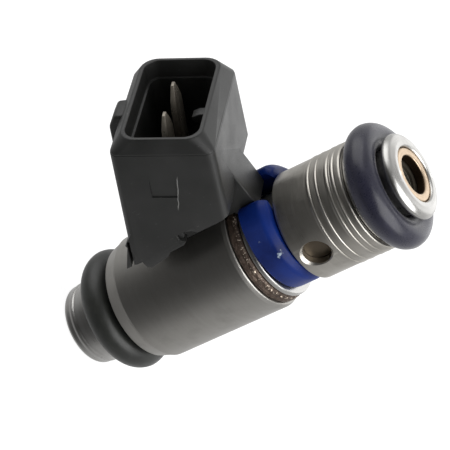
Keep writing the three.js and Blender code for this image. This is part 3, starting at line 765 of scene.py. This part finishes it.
def retaining_clip():
    """A C-shaped ring, thickest at its two rounded ears, with a sloping front edge.

    Its rear face steps forward away from the ears.
    """
    inner_start = math.asin(CLIP_SLOT / CLIP_BORE)
    outer_start = math.asin(CLIP_SLOT / CLIP_RADIUS)
    stations = 150
    ear = 0.035  # share of the way round over which an ear rounds off
    ear_depth, ear_taper = 0.75, 0.35
    rear_step, rear_share = 0.25, 0.22
    rings = []
    for k in range(stations + 1):
        t = k / stations
        a = inner_start + (2 * math.pi - 2 * inner_start) * t
        b = outer_start + (2 * math.pi - 2 * outer_start) * t
        inside = Vector((math.sin(a), -math.cos(a))) * CLIP_BORE
        toward = Vector((math.sin(b), -math.cos(b)))
        centre = Vector((0, CLIP_CENTRE_Y))
        end = min(t, 1 - t) / ear
        drawn_in = 0 if end >= 1 else ear_depth * (1 - math.sqrt(1 - (1 - end) ** 2))
        outside = centre + toward * (CLIP_RADIUS - drawn_in)
        front_out = centre + toward * (CLIP_FRONT_RADIUS - drawn_in)
        shrink = ear_taper * drawn_in
        thin = (outside - inside).length
        lip = min(0.25, thin * 0.3)
        rear = CLIP_REAR + shrink + rear_step * min(1, min(t, 1 - t) / rear_share)
        corners = [
            (*inside, CLIP_REAR + shrink, 0.1),
            (*outside, rear, lip),
            (*outside, CLIP_CHAMFER, 0.35),
            (*front_out, CLIP_FRONT - shrink, lip),
            (*inside, CLIP_FRONT - shrink, 0.1),
        ]
        rings.append(rounded(corners, 5))
    piece = through_rings("retaining_clip_fine", rings, caps=True, angle=45)
    facing_out(piece)
    smooth(piece, 45)
    return piece


# ---- The connector --------------------------------------------------------------------------------


def connector_cup():
    """The block with its chamfered rim and the stepped socket in it, as one closed cup."""
    edge = RIM - CHAMFER
    # Half width in x, half depth in s, corner, extra depth on the upper side, height n, rounding.
    levels = [
        (7.77, 5.73, 1.0, BLOCK_DRAFT * (edge - BLOCK_FLOOR), BLOCK_FLOOR, 0),
        (7.77, 5.73, 1.0, BLOCK_DRAFT * 0.2, edge - 0.2, 0.04),
        (7.72, 5.7, 1.0, 0, edge - 0.14, 0.03),
        (7.75, 5.71, 1.0, 0, edge - 0.02, 0.1),
        (7.4, 4.5, 1.9, 0, RIM, 0.22),
        (6.97, 4.03, 1.6, 0, RIM, 0.16),
        (6.93, 3.99, 1.6, 0, RIM - 2.2, 0.03),
        (6.65, 3.72, 1.3, 0, RIM - 2.22, 0.03),
        (6.55, 3.62, 1.25, 0, SOCKET_FLOOR, 0),
    ]
    rings = []
    for x, s, corner, extra, n in rounded(levels, 5, closed=False):
        rings.append([place(px, ps, n) for px, ps in rounded_rectangle(x, s, corner, extra)])
    return through_rings("connector_housing_fine", rings, caps=True)


def latch_lug():
    """The rounded ramp that a plug's latch clicks over."""
    outline = [(4.9, 18.0), (6.75, 18.3), (7.05, 19.6), (7.05, 22.4), (6.35, 23.75), (4.9, 23.9)]
    lug = prism("lug", outline, -1.6, 1.6, lambda s, n, x: place(x, -s, n))
    return bevelled(lug, 0.32, 4, 20)


def rear_foot():
    outline = [(-4.7, 6.5), (-4.7, 11), (-5.73, 11), (-6.55, 6.5)]
    foot = prism("foot", outline, -7.6, 7.6, lambda s, n, x: place(x, s, n))
    return bevelled(foot, 0.12)


def side_slot(side):
    """The narrow slot that parts the rear foot from the side of the block."""
    low, high = sorted((side * 6.6, side * 8.5))
    return box("slot", (low, -5.78, 6), (high, -5.42, 11.2), in_connector)


def side_skirt(side):
    """The uneven lower edge of the block beside the can, with a notch near its front."""
    outline = [
        (-12.2, 17.2),
        (-9.5, 17.42),
        (-8.5, 17.46),
        (-8.2, 17.9),
        (-8.5, 19.9),
        (-8.6, 20.6),
        (-8.95, 21.0),
        (-9.05, 23.1),
        (-9.36, 23.62),
        (-9.9, 23.05),
        (-10.5, 23.2),
        (-10.55, 24.2),
        (-10.25, 25.05),
        (-9.78, 25.5),
        (-9.78, 26.6),
        (-14, 26.6),
        (-14, 20),
    ]
    skirt = prism("skirt", outline, side * 6.5, side * 7.75, lambda y, z, x: Vector((x, y, z)))
    return bevelled(skirt, 0.07, 2)


def side_hook(side):
    """A small hook of flash inside the notch of the lower edge."""
    outline = [(-10.8, 23.0), (-9.95, 23.0), (-9.7, 23.4), (-9.9, 23.75), (-10.3, 23.85), (-10.8, 23.8)]
    hook = prism("hook", outline, side * 6.62, side * 7.45, lambda y, z, x: Vector((x, y, z)))
    return bevelled(hook, 0.08, 2)


def chamfer_groove():
    """The short parting groove along the lower edge of the chamfer, on the side of the inlet."""
    return box("groove", (0.9, 5.62, 23.42), (5.6, 6.2, 23.54), in_connector)


def web():
    outline = [(-11.5, 24.4), (-11.5, 30.5), (-6.1, 30.2), (-5.6, 27.6), (-3.5, 27.4), (-3.5, 24.4)]
    rib = prism("web", outline, -2.4, 2.4, lambda y, z, x: Vector((x, y, z)))
    return bevelled(rib, 0.14)


def saddle():
    outline = [(-10.2, 16.3), (-10.2, 25.4), (-5, 25.4), (-5, 16.3)]
    base = prism("saddle", outline, -3.1, 3.1, lambda y, z, x: Vector((x, y, z)))
    return bevelled(base, 0.15)


def body_clearance():
    corners = [
        (7.6, 5, 0),
        (7.6, CAN_FRONT + 0.04, 0),
        (7.25, CAN_FRONT + 0.04, 0),
        (7.25, BEAD_FRONT + 0.04, 0),
        (COVER_LIP + 0.08, BEAD_FRONT + 0.04, 0),
        (COVER_LIP + 0.08, COVER_FRONT + 0.06, 0),
        (5.08, COVER_FRONT + 0.06, 0),
        (5.08, 35, 0),
    ]
    return turned("clearance", corners, ROUND, solid=True)


def keying_peg():
    """The peg that only lets the right plug in. It narrows towards its free end."""
    outline = [(4.3, 22.1), (4.3, 23.25), (2.9, 23.2), (2.05, 22.85), (2.1, 22.35), (2.7, 22.1)]
    peg = prism("peg", outline, -0.65, 0.65, lambda s, n, x: place(x, s, n))
    return bevelled(peg, 0.12)


def side_recess(side):
    """A shallow wedge, deepest along its lower edge and running out upwards."""
    outer, face, deep = side * 8.2, side * 7.8, side * 7.64
    low, high, left, right = 17.5, 21.3, -1.85, 1.0
    section = [(outer, low), (deep, low), (face, high), (outer, high)]
    recess = prism("recess", section, left, right, lambda x, n, s: place(x, s, n))
    facing_out(recess)
    return recess


def connector_housing():
    housing = connector_cup()
    facing_out(housing)
    combine(housing, rear_foot(), "UNION")
    combine(housing, box("below", (-12, UNDERSIDE_Y, -5), (12, 12, 40)), "DIFFERENCE")
    combine(housing, box("step", (-12, -9.8, 22.8), (12, 12, 40)), "DIFFERENCE")
    combine(housing, chamfer_groove(), "DIFFERENCE")
    for side in (-1, 1):
        low, high = sorted((side * 5.9, side * 9))
        combine(housing, box("gap", (low, -10.56, 22.9), (high, -9, 25.6)), "DIFFERENCE")
        combine(housing, side_recess(side), "DIFFERENCE")
        combine(housing, side_skirt(side), "UNION")
        combine(housing, side_slot(side), "DIFFERENCE")
        combine(housing, side_hook(side), "UNION")
    for part in (latch_lug(), saddle(), web()):
        combine(housing, part, "UNION")
    combine(housing, body_clearance(), "DIFFERENCE")
    combine(housing, keying_peg(), "UNION")
    smooth(housing, 35)
    return housing


def terminal(name, side):
    """A flat blade with a long point, thinned towards its tip, and its tail inside the housing."""
    outline = [
        (1.0, 9.2),
        (2.2, 9.2),
        (2.2, 12.5),
        (BLADE_X + BLADE_HALF, 12.5),
        (BLADE_X + BLADE_HALF, 22.5),
        (BLADE_X + 1.15, 23.5),
        (BLADE_X + 0.4, BLADE_TIP),
        (BLADE_X - 0.4, BLADE_TIP),
        (BLADE_X - 1.15, 23.5),
        (BLADE_X - BLADE_HALF, 22.5),
        (BLADE_X - BLADE_HALF, 12.5),
        (1.0, 12.5),
    ]

    def taper(x, n, s):
        thin = 1 - BLADE_THINNING * max(0, min(1, (n - BLADE_TAPER) / (BLADE_TIP - BLADE_TAPER)))
        return place(side * x, BLADE_S + s * thin, n)

    blade = prism(name, outline, -BLADE_THICK, BLADE_THICK, taper)
    bevelled(blade, 0.1, 2, 25)
    smooth(blade, 28)
    return blade


# ---- Assembly -------------------------------------------------------------------------------------


def dress(piece, material):
    piece.data.materials.clear()
    piece.data.materials.append(material)


def slots_of_nodes():
    return {row["node"]: row["material_slot"] for row in frame["record"]["subparts"]}


materials = {
    "body_steel": can_steel(),
    "collar_steel": collar_steel(),
    "turned_steel": bright_steel(),
    "soft_iron": soft_iron(),
    "spring_steel": spring_steel(),
    "bronze_bead": bronze_bead(),
    "brass": rolled_brass(),
    "copper": enamelled_copper(),
    "terminal_tin": tinned_terminal(),
    "housing_plastic": housing_plastic(),
    "bobbin_plastic": bobbin_plastic(),
    "clip_plastic": clip_plastic(),
    "black_rubber": black_rubber(),
    "navy_rubber": navy_rubber(),
    "filter_plastic": filter_plastic(),
    "filter_cloth": filter_cloth(),
}

fine_pieces = {
    "nozzle_cap": nozzle_cap(),
    "valve_body": valve_body(),
    "orifice_plate": orifice_plate(),
    "lower_o_ring": o_ring("lower_o_ring_fine", LOWER_RING_Z),
    "housing_can": housing_can(),
    "cover_plate": cover_plate(),
    "weld_bead": weld_bead(),
    "retaining_clip": retaining_clip(),
    "inlet_collar": inlet_collar(),
    "inlet_tube": inlet_tube(),
    "back_up_ring": back_up_ring(),
    "upper_o_ring": o_ring("upper_o_ring_fine", UPPER_RING_Z),
    "filter_sleeve": filter_sleeve(),
    "connector_housing": connector_housing(),
    "terminal_pin_left": terminal("terminal_pin_left_fine", -1),
    "terminal_pin_right": terminal("terminal_pin_right_fine", 1),
}

node_slots = slots_of_nodes()
for node, cad_object in frame["nodes"].items():
    dress(cad_object, materials[node_slots[node]])
for node, piece in fine_pieces.items():
    facing_out(piece)
    dress(piece, materials[node_slots[node]])
    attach(piece, BODY)
    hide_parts(node)


# ---- Floor, light and camera ----------------------------------------------------------------------


def floor():
    half = FLOOR_HALF / MM
    corners = [(-half, -half, 0), (half, -half, 0), (half, half, 0), (-half, half, 0)]
    ground = new_piece("floor", corners, [(0, 1, 2, 3)])
    ground.location.z = -FLOOR_GAP
    dress(ground, pale_floor())
    ground.visible_glossy = False


def soft_light(name, toward, distance, size, power):
    """A square lamp that shines on the injector from a direction."""
    lamp = bpy.data.lights.new(name, "AREA")
    lamp.size = size
    lamp.energy = power
    holder = bpy.data.objects.new(name, lamp)
    direction = Vector(toward).normalized()
    holder.location = LAMP_AIM + direction * distance
    holder.rotation_euler = direction.to_track_quat("Z", "Y").to_euler()
    bpy.context.scene.collection.objects.link(holder)


def surroundings():
    """A pale studio, darker on the side of the camera. The camera itself sees a plain backdrop."""
    world = bpy.data.worlds.new("studio")
    bpy.context.scene.world = world
    world.use_nodes = True
    nodes, links = world.node_tree.nodes, world.node_tree.links
    background = nodes["Background"]
    direction = nodes.new("ShaderNodeTexCoord").outputs["Generated"]
    dot = nodes.new("ShaderNodeVectorMath")
    dot.operation = "DOT_PRODUCT"
    dot.inputs[1].default_value = Vector(DARK_SIDE).normalized()
    links.new(direction, dot.inputs[0])
    ramp = nodes.new("ShaderNodeValToRGB")
    while len(ramp.color_ramp.elements) < len(STUDIO_SHADES):
        ramp.color_ramp.elements.new(0.5)
    for element, (position, shade) in zip(ramp.color_ramp.elements, STUDIO_SHADES):
        element.position = position
        element.color = (shade, shade, shade, 1)
    spread = nodes.new("ShaderNodeMapRange")
    spread.inputs[1].default_value = -1
    links.new(dot.outputs["Value"], spread.inputs[0])
    links.new(spread.outputs[0], ramp.inputs[0])
    plain = nodes.new("ShaderNodeMix")
    plain.data_type = "RGBA"
    links.new(nodes.new("ShaderNodeLightPath").outputs["Is Camera Ray"], plain.inputs[0])
    links.new(ramp.outputs[0], plain.inputs[6])
    plain.inputs[7].default_value = (BACKDROP, BACKDROP, BACKDROP, 1)
    links.new(plain.outputs[2], background.inputs["Color"])
    background.inputs["Strength"].default_value = 1.0


def camera():
    """A long lens that looks down on the injector, rolled about its own line of sight."""
    lens = bpy.data.cameras.new("camera")
    lens.sensor_width = SENSOR_MM
    lens.lens = FOCAL_LENGTH_MM
    lens.clip_start = 0.01
    view = bpy.data.objects.new("camera", lens)
    level = math.cos(CAMERA_ELEVATION)
    toward = Vector((
        level * math.cos(CAMERA_AZIMUTH),
        level * math.sin(CAMERA_AZIMUTH),
        math.sin(CAMERA_ELEVATION),
    ))
    place_there = Matrix.Translation(CAMERA_AIM + toward * CAMERA_DISTANCE)
    upright = toward.to_track_quat("Z", "Y").to_matrix().to_4x4()
    view.matrix_world = place_there @ upright @ Matrix.Rotation(CAMERA_ROLL, 4, "Z")
    bpy.context.scene.collection.objects.link(view)
    bpy.context.scene.camera = view


floor()
surroundings()
for lamp in LAMPS:
    soft_light(*lamp)
camera()
bpy.context.scene.view_settings.view_transform = "Standard"
